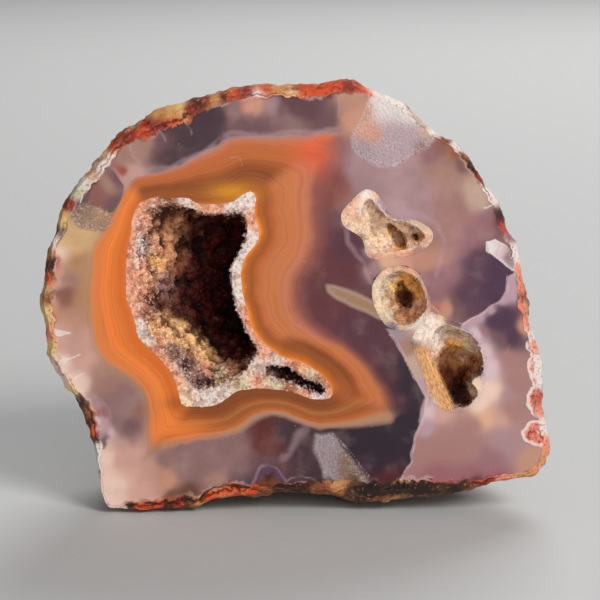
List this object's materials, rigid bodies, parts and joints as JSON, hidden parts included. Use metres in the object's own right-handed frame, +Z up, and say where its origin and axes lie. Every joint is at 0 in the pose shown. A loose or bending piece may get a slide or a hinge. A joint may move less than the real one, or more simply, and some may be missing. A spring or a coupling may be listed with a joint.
{
  "type": "agate half nodule",
  "caption": "Half of a banded agate nodule with a flat polished face, a rough rounded back and open hollows lined with crystal crusts; stands on a small flat spot.",
  "frame": {"origin": "bottom centre of the stone's box, on the surface that its flat spot stands on", "axes": "+Z up, +X to the right across the polished face as seen from in front, polished face towards -Y"},
  "size_m": [0.0618, 0.028, 0.0529],
  "materials": {
    "agate": "polished flat in front, with orange, mauve and violet bands; rough tan, orange and red-brown skin behind",
    "druse": "small pinkish white to brown quartz crystals",
    "pale_crust": "sugary, cream to pink",
    "golden_crust": "granular, golden brown",
    "brown_crust": "cream to dark brown, with a fibrous tan rod"
  },
  "bodies": {
    "root": {"agate": "agate", "druse": "druse", "upper_crust": "pale_crust", "middle_crust": "golden_crust", "lower_crust": "brown_crust"}
  },
  "joints": []
}
